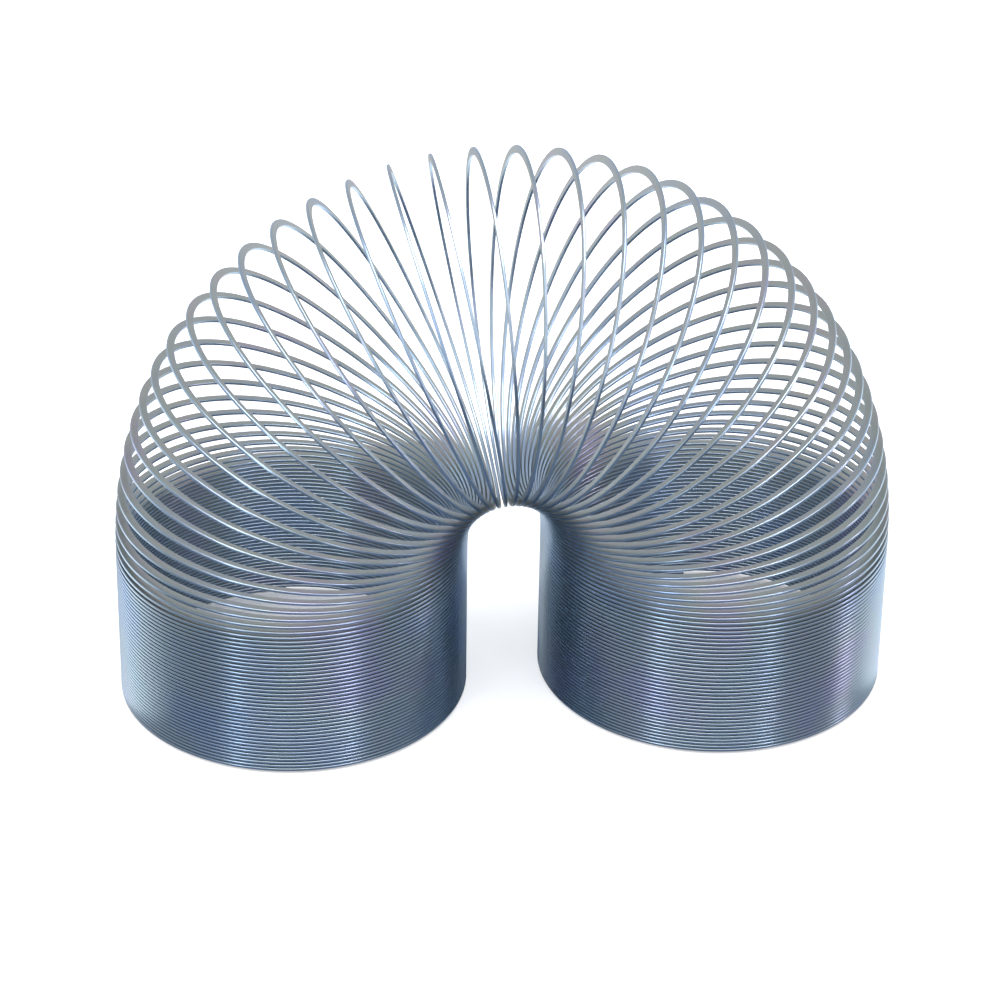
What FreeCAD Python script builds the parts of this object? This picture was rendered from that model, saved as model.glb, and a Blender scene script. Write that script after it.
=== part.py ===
import FreeCAD, Part
import math
import os
from FreeCAD import Placement, Rotation, Vector

# Spring coil toy, standing as an arch on both of its ends.
#
# The toy is one flat-rolled steel wire wound into a helix.  Its axis climbs out of
# the left foot, bends over through half a circle and comes down into the right foot.
# A place on the wire is given by its turn number: whole numbers are where the wire
# crosses the inside of the arch, and from there it runs to the back, over the outside
# and round the front to the next whole number.
#
# The wire is divided at whole turns, because the real one moves by bending a little in
# every turn: closed stacks of turns in the two legs, and single turns over the arch.
#
# Row frame, millimetres: X from the left foot to the right foot, Z up, and the origin
# on the floor, midway between the feet.

SIZES = {
    # the wire and the closed coil
    "coil_outer_diameter": 70.0,
    "strip_width": 1.6,
    "strip_thickness": 0.6,
    # climb per turn: least at the feet, where the weight of the coil presses
    "left_foot_pitch": 0.7471,
    "right_foot_pitch": 0.73206,
    "shoulder_pitch": 0.8712,
    # how much closer the inner edges sit for each radian that a turn bends
    "pitch_drop": 1.4233,
    # where the wire begins and ends, in turns
    "wire_start": 0.25,
    "wire_end": 118.25,
    # the bend of the arch: its middle and half its length in turns, and its profile
    "bend_middle": 60.2372,
    "bend_half_length": 24.032,
    "bend_power": 2.0955,
    "bend_tail_power": 1.7604,
    "bend_skew": -0.2577,
    # where the wire is divided: groups of turns in each leg, single turns between
    "leg_groups": 9,
    "leg_group_turns": 4,
    "first_arch_turn": 39,
    "last_arch_turn": 81,
    # half of the slit between two neighbouring pieces of wire
    "half_slit": 0.04,
    # sections per turn that the wire is lofted through
    "sections_per_turn": 24,
}

doc = FreeCAD.newDocument("spring_coil_toy")
sheet = doc.addObject("Spreadsheet::Sheet", "Sizes")
for row, (name, value) in enumerate(SIZES.items(), start=1):
    sheet.set("A" + str(row), name)
    sheet.set("B" + str(row), str(value))
    sheet.setAlias("B" + str(row), name)
doc.recompute()

coil_radius = sheet.coil_outer_diameter / 2
strip_width = sheet.strip_width
strip_thickness = sheet.strip_thickness
sections_per_turn = int(sheet.sections_per_turn)
middle_radius = coil_radius - strip_width / 2

# corners of the strip's section, in halves of its width and thickness
CORNERS = ((-1, -1), (1, -1), (1, 1), (-1, 1))

# ---------------------------------------------------------------- axis of the coil

STEPS_PER_TURN = 8 * sections_per_turn


def bend_weight(turn):
    """How strongly the coil bends at a turn, before scaling to half a circle."""
    x = (turn - sheet.bend_middle) / sheet.bend_half_length
    if abs(x) >= 1:
        return 0.0
    bump = (1 - abs(x) ** sheet.bend_power) ** sheet.bend_tail_power
    return bump * (1 + sheet.bend_skew * x)


step_count = round((sheet.wire_end - sheet.wire_start) * STEPS_PER_TURN)
turns = [sheet.wire_start + i / STEPS_PER_TURN for i in range(step_count + 1)]
weights = [bend_weight(turn) for turn in turns]
bend_total = sum((a + b) / 2 for a, b in zip(weights, weights[1:])) / STEPS_PER_TURN

# lean of the coil's axis from upright, in radians, and the bend in one turn
bends = [math.pi * weight / bend_total for weight in weights]
leans = [0.0]
for a, b in zip(bends, bends[1:]):
    leans.append(leans[-1] + (a + b) / 2 / STEPS_PER_TURN)


def axis_direction(lean):
    """Way that the coil climbs where its axis leans this much."""
    return Vector(math.sin(lean), 0, math.cos(lean))


def outward_direction(lean):
    """Way from the inside of the arch to its outside, square to the coil's axis."""
    return Vector(-math.cos(lean), 0, math.sin(lean))


def turn_pitch(turn, bend):
    """Climb per turn along the inside of the coil."""
    if turn < sheet.bend_middle:
        leg_turns = sheet.bend_middle - sheet.bend_half_length - sheet.wire_start
        height = min(1, (turn - sheet.wire_start) / leg_turns)
        foot = sheet.left_foot_pitch
    else:
        leg_turns = sheet.wire_end - sheet.bend_middle - sheet.bend_half_length
        height = min(1, (sheet.wire_end - turn) / leg_turns)
        foot = sheet.right_foot_pitch
    return foot + (sheet.shoulder_pitch - foot) * height - sheet.pitch_drop * bend


# the line that the inside of the coil follows
steps = []
for turn, bend, lean in zip(turns, bends, leans):
    steps.append(axis_direction(lean) * turn_pitch(turn, bend))
inner_line = [Vector(0, 0, 0)]
for a, b in zip(steps, steps[1:]):
    inner_line.append(inner_line[-1] + (a + b) * (0.5 / STEPS_PER_TURN))

# slide the coil so that the origin is midway between its feet, on the floor
left_foot = inner_line[0] + outward_direction(leans[0]) * coil_radius
right_foot = inner_line[-1] + outward_direction(leans[-1]) * coil_radius
shift = Vector(-(left_foot.x + right_foot.x) / 2, 0, strip_thickness / 2)


def at_turn(values, turn):
    """Value at a turn, interpolated between the steps."""
    place = (turn - sheet.wire_start) * STEPS_PER_TURN
    low = min(int(place), step_count - 1)
    part = place - low
    return values[low] * (1 - part) + values[low + 1] * part


def wire_section(turn):
    """Cross-section of the strip at a turn, as a closed outline."""
    lean = at_turn(leans, turn)
    angle = 2 * math.pi * turn
    outward = outward_direction(lean)
    along = axis_direction(lean)
    centre = at_turn(inner_line, turn) + shift + outward * coil_radius
    ray = outward * -math.cos(angle) + Vector(0, math.sin(angle), 0)
    middle = centre + ray * middle_radius
    half_ray = ray * (strip_width / 2)
    half_up = along * (strip_thickness / 2)
    return [middle + half_ray * across + half_up * up for across, up in CORNERS]


# ------------------------------------------------------------------ pieces of wire


def first_place(turn):
    """Place of a piece of wire: on the inside of the arch, at the middle of the strip."""
    lean = at_turn(leans, turn)
    base = at_turn(inner_line, turn) + shift + outward_direction(lean) * (strip_width / 2)
    return Placement(base, Rotation(Vector(0, 1, 0), math.degrees(lean)))


def add_wire_piece(label, start, end):
    """Loft the strip from one turn to another and add it to the document."""
    slit = sheet.half_slit / (2 * math.pi * middle_radius)
    low = start if start == sheet.wire_start else start + slit
    high = end if end == sheet.wire_end else end - slit
    count = round((end - start) * sections_per_turn)
    place = first_place(start)
    to_local = place.inverse()
    outlines = []
    for i in range(count + 1):
        turn = low + (high - low) * i / count
        corners = [to_local.multVec(corner) for corner in wire_section(turn)]
        outlines.append(Part.makePolygon(corners + corners[:1]))
    piece = doc.addObject("Part::Feature", label)
    piece.Label = label
    piece.Shape = Part.makeLoft(outlines, True, False, False)
    piece.Placement = place
    section_area = strip_width * strip_thickness
    expected = section_area * 2 * math.pi * middle_radius * (high - low)
    return piece, expected


group = int(sheet.leg_group_turns)
all_but_foot = group * (int(sheet.leg_groups) - 1)
first_arch_turn = int(sheet.first_arch_turn)
last_arch_turn = int(sheet.last_arch_turn)

pieces = []

# left leg, from the foot up to the shoulder where the arch begins
left_cuts = list(range(first_arch_turn - all_but_foot, first_arch_turn + 1, group))
left_cuts = [sheet.wire_start] + left_cuts
for number, (start, end) in enumerate(zip(left_cuts, left_cuts[1:]), start=1):
    label = "left_leg_coils_%02d" % number
    if number == 1:
        label = "left_foot_coils"
    elif end == first_arch_turn:
        label = "left_shoulder_coils"
    pieces.append(add_wire_piece(label, start, end))

# arch, one turn at a time
for number, turn in enumerate(range(first_arch_turn, last_arch_turn), start=1):
    pieces.append(add_wire_piece("arch_turn_%02d" % number, turn, turn + 1))

# right leg, from the shoulder down to the foot, numbered up from the foot
right_cuts = list(range(last_arch_turn, last_arch_turn + all_but_foot + 1, group))
right_cuts = [sheet.wire_end] + right_cuts[::-1]
for number, (end, start) in enumerate(zip(right_cuts, right_cuts[1:]), start=1):
    label = "right_leg_coils_%02d" % number
    if number == 1:
        label = "right_foot_coils"
    elif start == last_arch_turn:
        label = "right_shoulder_coils"
    pieces.append(add_wire_piece(label, start, end))

# ------------------------------------------------------------------ check and export

VOLUME_TOLERANCE = 0.001

doc.recompute()

for item in doc.Objects:
    if "Invalid" in item.State or "Error" in item.State:
        raise RuntimeError(item.Label + " did not recompute")
for piece, expected in pieces:
    shape = piece.Shape
    if shape.isNull() or not shape.isValid() or len(shape.Solids) != 1:
        raise RuntimeError(piece.Label + " is not one valid solid")
    if abs(shape.Volume / expected - 1) > VOLUME_TOLERANCE:
        raise RuntimeError(piece.Label + " has the wrong volume")

os.makedirs("parts", exist_ok=True)
for piece, expected in pieces:
    piece.Shape.exportStep("parts/" + piece.Label + ".step")
    print(piece.Label, round(piece.Shape.Volume / expected, 4))
print(len(pieces), "pieces")
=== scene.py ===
import math

import bpy
import numpy as np
from mathutils import Matrix, Vector


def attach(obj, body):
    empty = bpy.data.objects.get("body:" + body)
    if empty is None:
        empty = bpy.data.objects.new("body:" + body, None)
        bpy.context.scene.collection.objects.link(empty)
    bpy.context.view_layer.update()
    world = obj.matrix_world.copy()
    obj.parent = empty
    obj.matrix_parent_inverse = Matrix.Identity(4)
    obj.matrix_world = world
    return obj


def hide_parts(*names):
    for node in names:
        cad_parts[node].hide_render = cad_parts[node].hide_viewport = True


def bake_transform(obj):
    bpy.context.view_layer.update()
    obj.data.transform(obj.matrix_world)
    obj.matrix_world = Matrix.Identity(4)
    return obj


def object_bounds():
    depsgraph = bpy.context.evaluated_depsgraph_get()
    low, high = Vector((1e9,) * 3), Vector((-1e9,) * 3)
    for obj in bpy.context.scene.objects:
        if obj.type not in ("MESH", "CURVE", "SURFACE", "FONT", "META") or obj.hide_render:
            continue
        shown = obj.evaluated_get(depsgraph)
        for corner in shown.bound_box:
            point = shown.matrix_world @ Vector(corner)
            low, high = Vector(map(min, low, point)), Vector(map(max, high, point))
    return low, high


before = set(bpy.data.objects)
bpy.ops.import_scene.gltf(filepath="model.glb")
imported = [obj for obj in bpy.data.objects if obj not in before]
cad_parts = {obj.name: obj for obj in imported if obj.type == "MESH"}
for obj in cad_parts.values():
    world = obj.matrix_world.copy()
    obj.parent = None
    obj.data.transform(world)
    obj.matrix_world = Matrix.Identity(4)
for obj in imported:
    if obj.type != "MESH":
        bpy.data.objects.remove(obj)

cad_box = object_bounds()

# ------------------------------------------------------------------ the coil, in millimetres
# A place on the wire is a turn number: whole numbers are on the inside of the arch, and
# from there the wire runs to the back, over the outside and round the front.

COIL_RADIUS = 35.0
STRIP_WIDTH = 1.6
STRIP_THICKNESS = 0.6
EDGE_RADIUS = 0.2
LEFT_FOOT_PITCH = 0.7471
RIGHT_FOOT_PITCH = 0.73206
SHOULDER_PITCH = 0.8712
PITCH_DROP = 1.4233
WIRE_START = 0.25
WIRE_END = 118.25
BEND_MIDDLE = 60.2372
BEND_HALF_LENGTH = 24.032
BEND_POWER = 2.0955
BEND_TAIL_POWER = 1.7604
BEND_SKEW = -0.2577
FIRST_ARCH_TURN = 39
LAST_ARCH_TURN = 81
LEG_GROUPS = 9
LEG_GROUP_TURNS = 4

RINGS_PER_TURN = 96
STEPS_PER_TURN = 128
MIDDLE_RADIUS = COIL_RADIUS - STRIP_WIDTH / 2
UV_MILLIMETRES = 100

turns = np.linspace(WIRE_START, WIRE_END, round((WIRE_END - WIRE_START) * STEPS_PER_TURN) + 1)
x = (turns - BEND_MIDDLE) / BEND_HALF_LENGTH
inside = np.clip(np.abs(x), 0, 1)
weight = (1 - inside ** BEND_POWER) ** BEND_TAIL_POWER * (1 + BEND_SKEW * np.clip(x, -1, 1))


def running_sum(values):
    """Integral of the values along the wire, one entry per step."""
    middles = (values[1:] + values[:-1]) / 2 / STEPS_PER_TURN
    return np.concatenate([np.zeros_like(values[:1]), np.cumsum(middles, axis=0)])


lean = running_sum(weight)
bend = weight * math.pi / lean[-1]
lean = lean * math.pi / lean[-1]


def outward_of(angle):
    """Way from the inside of the arch to its outside, where the axis leans this much."""
    return np.stack([-np.cos(angle), 0 * angle, np.sin(angle)], axis=1)


def along_of(angle):
    """Way that the coil climbs, where its axis leans this much."""
    return np.stack([np.sin(angle), 0 * angle, np.cos(angle)], axis=1)


# the climb per turn is least at the feet, where the weight of the coil presses
bend_start = BEND_MIDDLE - BEND_HALF_LENGTH
bend_end = BEND_MIDDLE + BEND_HALF_LENGTH
marks = [WIRE_START, bend_start, bend_end, WIRE_END]
climbs = [LEFT_FOOT_PITCH, SHOULDER_PITCH, SHOULDER_PITCH, RIGHT_FOOT_PITCH]
pitch = np.interp(turns, marks, climbs) - PITCH_DROP * bend
inner = running_sum(along_of(lean) * pitch[:, None])
feet = inner[[0, -1]] + COIL_RADIUS * outward_of(lean[[0, -1]])
inner = inner + np.array([-feet[:, 0].mean(), 0, STRIP_THICKNESS / 2])


def strip_outline():
    """Outline of the strip's section, with its rounded edges, and the normal at each point."""
    across = STRIP_WIDTH / 2 - EDGE_RADIUS
    up = STRIP_THICKNESS / 2 - EDGE_RADIUS
    points, normals = [], []
    for sx, sy, first in ((1, 1, 0), (-1, 1, 90), (-1, -1, 180), (1, -1, 270)):
        for step in (0, 30, 60, 90):
            a = math.radians(first + step)
            n = (math.cos(a), math.sin(a))
            points.append((sx * across + EDGE_RADIUS * n[0], sy * up + EDGE_RADIUS * n[1]))
            normals.append(n)
    return np.array(points), np.array(normals)


OUTLINE, OUTLINE_NORMALS = strip_outline()
lengths = np.linalg.norm(np.roll(OUTLINE, -1, axis=0) - OUTLINE, axis=1)
GIRTH = np.concatenate([[0], np.cumsum(lengths)])


def wire_piece(name, start, end):
    """Mesh of the strip from one turn to another, as an object in metres."""
    count = max(2, round((end - start) * RINGS_PER_TURN))
    at = np.linspace(start, end, count + 1)
    leans = np.interp(at, turns, lean)
    spine = np.stack([np.interp(at, turns, inner[:, k]) for k in range(3)], axis=1)
    outward, along = outward_of(leans), along_of(leans)
    centre = spine + COIL_RADIUS * outward
    angle = (2 * math.pi * at)[:, None]
    ray = -np.cos(angle) * outward + np.sin(angle) * np.array([0.0, 1.0, 0.0])
    middle = centre + MIDDLE_RADIUS * ray
    k = len(OUTLINE)
    points = (
        middle[:, None, :]
        + OUTLINE[None, :, :1] * ray[:, None, :]
        + OUTLINE[None, :, 1:] * along[:, None, :]
    )
    normals = (
        OUTLINE_NORMALS[None, :, :1] * ray[:, None, :]
        + OUTLINE_NORMALS[None, :, 1:] * along[:, None, :]
    )
    ring = np.arange(count)[:, None] * k
    spot = np.arange(k)[None, :]
    following = (spot + 1) % k
    quads = np.stack([ring + spot, ring + k + spot, ring + k + following, ring + following], axis=2)
    quads = quads.reshape(-1, 4)
    caps = [list(range(k)), [count * k + i for i in range(k)][::-1]]
    mesh = bpy.data.meshes.new(name)
    mesh.from_pydata((points.reshape(-1, 3) / 1000).tolist(), [], quads.tolist() + caps)
    mesh.update()
    uv = mesh.uv_layers.new(name="UVMap")
    length = at * 2 * math.pi * MIDDLE_RADIUS / UV_MILLIMETRES
    corner_uv = np.zeros((len(quads) * 4 + 2 * k, 2))
    steps = np.repeat(np.arange(count), k)
    spots = np.tile(np.arange(k), count)
    corner_u = np.stack([length[steps], length[steps + 1], length[steps + 1], length[steps]], axis=1)
    corner_v = np.stack([GIRTH[spots], GIRTH[spots], GIRTH[spots + 1], GIRTH[spots + 1]], axis=1)
    corner_uv[: len(quads) * 4, 0] = corner_u.reshape(-1)
    corner_uv[: len(quads) * 4, 1] = corner_v.reshape(-1)
    uv.data.foreach_set("uv", corner_uv.reshape(-1).astype(np.float32))
    # rim: how far a point lies on the strip's rounded rims, where the painted blue reflection goes
    rim = mesh.attributes.new(name="rim", type="FLOAT", domain="POINT")
    rim.data.foreach_set("value", np.tile(np.abs(OUTLINE_NORMALS[:, 0]), count + 1))
    mesh.polygons.foreach_set("use_smooth", np.ones(len(mesh.polygons), dtype=bool))
    corner_normals = np.zeros((len(quads) * 4 + 2 * k, 3))
    corner_normals[: len(quads) * 4] = normals.reshape(-1, 3)[quads.reshape(-1)]
    corner_normals[-2 * k : -k] = np.cross(ray[0], along[0])
    corner_normals[-k:] = -np.cross(ray[-1], along[-1])
    mesh.normals_split_custom_set(corner_normals.tolist())
    obj = bpy.data.objects.new(name, mesh)
    bpy.context.scene.collection.objects.link(obj)
    return obj


# ------------------------------------------------------------------ spring steel


def add_ramp(nodes, stops):
    """Colour ramp with the given (position, colour) stops."""
    ramp = nodes.new("ShaderNodeValToRGB")
    elements = ramp.color_ramp.elements
    while len(elements) < len(stops):
        elements.new(0.5)
    for element, (position, color) in zip(elements, stops):
        element.position = position
        element.color = (*color, 1)
    return ramp


def make_steel():
    """Bright rolled strip: lines drawn along the wire, a painted blue reflection on its rims, faint
    heat tints.
    """
    steel = bpy.data.materials.new("bright_spring_steel")
    steel.use_nodes = True
    nodes, links = steel.node_tree.nodes, steel.node_tree.links
    nodes.clear()
    out = nodes.new("ShaderNodeOutputMaterial")
    shader = nodes.new("ShaderNodeBsdfPrincipled")
    shader.inputs["Metallic"].default_value = 1.0
    shader.inputs["Anisotropic"].default_value = 0.6
    shader.inputs["Anisotropic Rotation"].default_value = 0.25
    links.new(shader.outputs["BSDF"], out.inputs["Surface"])
    grain = nodes.new("ShaderNodeTangent")
    grain.direction_type = "UV_MAP"
    grain.uv_map = "UVMap"
    links.new(grain.outputs["Tangent"], shader.inputs["Tangent"])

    # fine drawn lines: long along the wire, narrow across it
    place = nodes.new("ShaderNodeUVMap")
    place.uv_map = "UVMap"
    stretch = nodes.new("ShaderNodeMapping")
    stretch.inputs["Scale"].default_value = (6.0, 14.0, 1.0)
    links.new(place.outputs["UV"], stretch.inputs["Vector"])
    lines = nodes.new("ShaderNodeTexNoise")
    lines.inputs["Scale"].default_value = 1.0
    lines.inputs["Detail"].default_value = 3.0
    links.new(stretch.outputs["Vector"], lines.inputs["Vector"])

    # the steel's own colour on the flat faces, and a painted blue reflection on the rounded rims
    rim = nodes.new("ShaderNodeAttribute")
    rim.attribute_name = "rim"
    steel_and_rim_reflection = add_ramp(nodes, STEEL_AND_PAINTED_RIM_REFLECTION)
    links.new(rim.outputs["Fac"], steel_and_rim_reflection.inputs["Fac"])

    # heat tints and handling marks, a few turns across
    where = nodes.new("ShaderNodeTexCoord")
    blotches = nodes.new("ShaderNodeTexNoise")
    blotches.inputs["Scale"].default_value = 45.0
    blotches.inputs["Detail"].default_value = 2.0
    links.new(where.outputs["Object"], blotches.inputs["Vector"])
    tints = add_ramp(nodes, TINTS)
    links.new(blotches.outputs["Fac"], tints.inputs["Fac"])
    color = nodes.new("ShaderNodeMix")
    color.data_type = "RGBA"
    color.blend_type = "MULTIPLY"
    color.inputs[0].default_value = 1.0
    links.new(steel_and_rim_reflection.outputs["Color"], color.inputs[6])
    links.new(tints.outputs["Color"], color.inputs[7])
    links.new(color.outputs[2], shader.inputs["Base Color"])

    rough = nodes.new("ShaderNodeMapRange")
    rough.inputs["To Min"].default_value = 0.22
    rough.inputs["To Max"].default_value = 0.38
    links.new(lines.outputs["Fac"], rough.inputs["Value"])
    links.new(rough.outputs["Result"], shader.inputs["Roughness"])

    bump = nodes.new("ShaderNodeBump")
    bump.inputs["Strength"].default_value = 0.12
    bump.inputs["Distance"].default_value = 0.00005
    links.new(lines.outputs["Fac"], bump.inputs["Height"])
    links.new(bump.outputs["Normal"], shader.inputs["Normal"])
    return steel


# from the steel's own colour on the flat faces to a painted blue reflection on the rounded rims
STEEL_AND_PAINTED_RIM_REFLECTION = [
    (0.05, (0.60, 0.61, 0.62)),
    (0.90, (0.53, 0.64, 0.80)),
]
TINTS = [
    (0.30, (0.84, 0.93, 1.04)),
    (0.42, (0.94, 0.98, 1.0)),
    (0.50, (0.96, 1.0, 0.95)),
    (0.58, (1.0, 0.98, 0.95)),
    (0.68, (1.0, 0.93, 1.02)),
]
steel = make_steel()


def finish_piece(obj, nodes):
    """Give a piece of wire its material and hide the CAD nodes it stands for."""
    obj.data.materials.append(steel)
    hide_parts(*nodes)


# ------------------------------------------------------------------ the pieces of wire


def leg_pieces(side, cuts, bodies):
    """The wire of one leg from foot to shoulder.

    cuts are the turns where the leg's bodies meet, from the foot up, with both ends.
    Between the middles of two neighbouring bodies the wire stretches from one to the other.
    """
    middles = [(a + b) / 2 for a, b in zip(cuts, cuts[1:])]
    stations = [cuts[0]] + [round(m) for m in middles] + [cuts[-1]]
    for number in range(len(stations) - 1):
        a, b = stations[number], stations[number + 1]
        low, high = min(a, b), max(a, b)
        obj = wire_piece("%s_leg_wire_%02d" % (side, number + 1), low, high)
        if number == 0:
            finish_piece(obj, [bodies[0]])
            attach(obj, bodies[0])
        elif number == len(stations) - 2:
            finish_piece(obj, [bodies[-1]])
            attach(obj, bodies[-1])
        else:
            below, above = bodies[number - 1], bodies[number]
            finish_piece(obj, [below, above])
            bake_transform(obj)


def leg_bodies(side):
    """Names of one leg's bodies, from the foot up."""
    between = ["%s_leg_coils_%02d" % (side, n) for n in range(2, LEG_GROUPS)]
    return [side + "_foot_coils"] + between + [side + "_shoulder_coils"]


ALL_BUT_FOOT = LEG_GROUP_TURNS * (LEG_GROUPS - 1)
left_cuts = list(range(FIRST_ARCH_TURN - ALL_BUT_FOOT, FIRST_ARCH_TURN + 1, LEG_GROUP_TURNS))
leg_pieces("left", [WIRE_START] + left_cuts, leg_bodies("left"))

for number, turn in enumerate(range(FIRST_ARCH_TURN, LAST_ARCH_TURN), start=1):
    node = "arch_turn_%02d" % number
    turn_wire = wire_piece("arch_wire_%02d" % number, turn, turn + 1)
    finish_piece(turn_wire, [node])
    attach(turn_wire, node)

right_cuts = list(range(LAST_ARCH_TURN, LAST_ARCH_TURN + ALL_BUT_FOOT + 1, LEG_GROUP_TURNS))
leg_pieces("right", [WIRE_END] + right_cuts[::-1], leg_bodies("right"))

# ------------------------------------------------------------------ floor, light and camera


def flat_sheet(name, low_corner, high_corner, height, material):
    """Rectangle that lies flat at a height, in metres."""
    (x0, y0), (x1, y1) = low_corner, high_corner
    mesh = bpy.data.meshes.new(name)
    mesh.from_pydata([(x0, y0, 0), (x1, y0, 0), (x1, y1, 0), (x0, y1, 0)], [], [(0, 1, 2, 3)])
    mesh.materials.append(material)
    obj = bpy.data.objects.new(name, mesh)
    bpy.context.scene.collection.objects.link(obj)
    obj.location.z = height
    return obj


# pale paper with a painted glow that washes out the shadows cast on it, except inside the legs,
# where the glow stops and the paper keeps its shade
FOOT_X = (feet[1, 0] - feet[0, 0]) / 2000
LEG_WALL = (0.033, 0.035)
PAINTED_FLOOR_GLOW = 0.55
paper = bpy.data.materials.new("pale_floor")
paper.use_nodes = True
nodes, links = paper.node_tree.nodes, paper.node_tree.links
sheet = nodes["Principled BSDF"]
sheet.inputs["Base Color"].default_value = (0.98, 0.98, 0.99, 1)
sheet.inputs["Roughness"].default_value = 0.8
sheet.inputs["Emission Color"].default_value = (1, 1, 1, 1)
spot = nodes.new("ShaderNodeTexCoord")
axes = nodes.new("ShaderNodeSeparateXYZ")
links.new(spot.outputs["Object"], axes.inputs["Vector"])
either_side = nodes.new("ShaderNodeMath")
either_side.operation = "ABSOLUTE"
links.new(axes.outputs["X"], either_side.inputs[0])
folded = nodes.new("ShaderNodeCombineXYZ")
links.new(either_side.outputs["Value"], folded.inputs["X"])
links.new(axes.outputs["Y"], folded.inputs["Y"])
from_leg = nodes.new("ShaderNodeVectorMath")
from_leg.operation = "DISTANCE"
from_leg.inputs[1].default_value = (FOOT_X, 0, 0)
links.new(folded.outputs["Vector"], from_leg.inputs[0])
# painted glow: none inside the legs' walls, full strength outside them, so cast shadows fade out
# there
painted_glow = nodes.new("ShaderNodeMapRange")
painted_glow.inputs["From Min"].default_value, painted_glow.inputs["From Max"].default_value = LEG_WALL
painted_glow.inputs["To Max"].default_value = PAINTED_FLOOR_GLOW
links.new(from_leg.outputs["Value"], painted_glow.inputs["Value"])
links.new(painted_glow.outputs["Result"], sheet.inputs["Emission Strength"])
FLOOR_HALF = 20
floor = flat_sheet("floor", (-FLOOR_HALF, -FLOOR_HALF), (FLOOR_HALF, FLOOR_HALF), -0.0002, paper)

# The steel mirrors painted shade, not the lit paper: the paper is left out of reflections, and a
# dark patch under the coil and in front of it, seen only in reflections, takes its place and paints
# the ground's shade there.
floor.visible_glossy = False
low, high = cad_box
PATCH_DEPTH = 0.12
dark = bpy.data.materials.new("painted_shade_patch")
dark.use_nodes = True
dull = dark.node_tree.nodes["Principled BSDF"]
dull.inputs["Base Color"].default_value = (0.16, 0.20, 0.26, 1)
dull.inputs["Roughness"].default_value = 1.0
dull.inputs["Specular IOR Level"].default_value = 0.0
near_corner = (low[0], low[1] - PATCH_DEPTH)
patch = flat_sheet("painted_shade_patch", near_corner, (high[0], high[1]), -0.0001, dark)
patch.visible_camera = False
patch.visible_diffuse = False
patch.visible_shadow = False


LIGHTS_AIM = Vector((0, 0, 0.05))


def softbox(name, place, size, power, color):
    """Rectangular light that faces the coil."""
    light = bpy.data.lights.new(name, "AREA")
    light.shape = "RECTANGLE"
    light.size, light.size_y = size
    light.energy = power
    light.color = color
    lamp = bpy.data.objects.new(name, light)
    bpy.context.scene.collection.objects.link(lamp)
    lamp.location = place
    aim = LIGHTS_AIM - Vector(place)
    lamp.rotation_euler = aim.to_track_quat("-Z", "Y").to_euler()


softbox("front", (-0.15, -0.95, 1.15), (1.6, 0.7), 3.0, (0.94, 0.97, 1.0))
softbox("overhead", (0.0, -0.1, 1.4), (0.9, 0.9), 11.5, (1.0, 1.0, 1.0))
softbox("left_strip", (-1.01, -1.24, 0.35), (0.16, 0.9), 3.6, (0.80, 0.90, 1.0))
softbox("right_strip", (0.80, -1.39, 0.35), (0.16, 0.9), 3.6, (0.88, 0.90, 1.0))
softbox("side_strip", (1.59, -0.17, 0.35), (0.16, 0.9), 3.5, (1.0, 0.80, 0.88))

# the room that the steel mirrors: pale walls, and a ground that is dim in front and lit behind
WALLS = (0.34, 0.35, 0.36)
GROUND = [
    (0.05, (0.07, 0.085, 0.11)),
    (0.50, (0.13, 0.16, 0.20)),
    (0.77, (0.90, 0.98, 1.0)),
    (0.87, (0.80, 0.85, 0.90)),
    (0.92, (0.40, 0.42, 0.44)),
]
ROOM_STRENGTH = 1.5
HORIZON = (-0.15, 0.25)
world = bpy.data.worlds.new("studio")
bpy.context.scene.world = world
world.use_nodes = True
nodes, links = world.node_tree.nodes, world.node_tree.links
direction = nodes.new("ShaderNodeTexCoord")
split = nodes.new("ShaderNodeSeparateXYZ")
links.new(direction.outputs["Generated"], split.inputs["Vector"])
front_to_back = nodes.new("ShaderNodeMapRange")
front_to_back.inputs["From Min"].default_value = -1.0
links.new(split.outputs["Y"], front_to_back.inputs["Value"])
ground = add_ramp(nodes, GROUND)
links.new(front_to_back.outputs["Result"], ground.inputs["Fac"])
rise = nodes.new("ShaderNodeMapRange")
rise.inputs["From Min"].default_value, rise.inputs["From Max"].default_value = HORIZON
links.new(split.outputs["Z"], rise.inputs["Value"])
room = nodes.new("ShaderNodeMix")
room.data_type = "RGBA"
room.inputs[7].default_value = (*WALLS, 1)
links.new(rise.outputs["Result"], room.inputs[0])
links.new(ground.outputs["Color"], room.inputs[6])
links.new(room.outputs[2], nodes["Background"].inputs["Color"])
nodes["Background"].inputs["Strength"].default_value = ROOM_STRENGTH

AZIMUTH = math.radians(-6.2926)
ELEVATION = math.radians(30.0156)
ROLL = math.radians(0.952)
DISTANCE = 0.7187
TARGET = Vector((-0.000961, 0.0, 0.039473))
back = Vector((
    math.sin(AZIMUTH) * math.cos(ELEVATION),
    -math.cos(AZIMUTH) * math.cos(ELEVATION),
    math.sin(ELEVATION),
))
level = Vector((math.cos(AZIMUTH), math.sin(AZIMUTH), 0))
upright = back.cross(level)
right = level * math.cos(ROLL) + upright * math.sin(ROLL)
up = upright * math.cos(ROLL) - level * math.sin(ROLL)
camera_data = bpy.data.cameras.new("camera")
camera_data.sensor_width = 36
camera_data.lens = 129.91
camera_data.clip_start = 0.01
camera = bpy.data.objects.new("camera", camera_data)
bpy.context.scene.collection.objects.link(camera)
place = TARGET + back * DISTANCE
turned = Matrix((right, up, back)).transposed().to_4x4()
camera.matrix_world = Matrix.Translation(place) @ turned
bpy.context.scene.camera = camera
bpy.context.scene.view_settings.view_transform = "Standard"

bpy.context.view_layer.update()
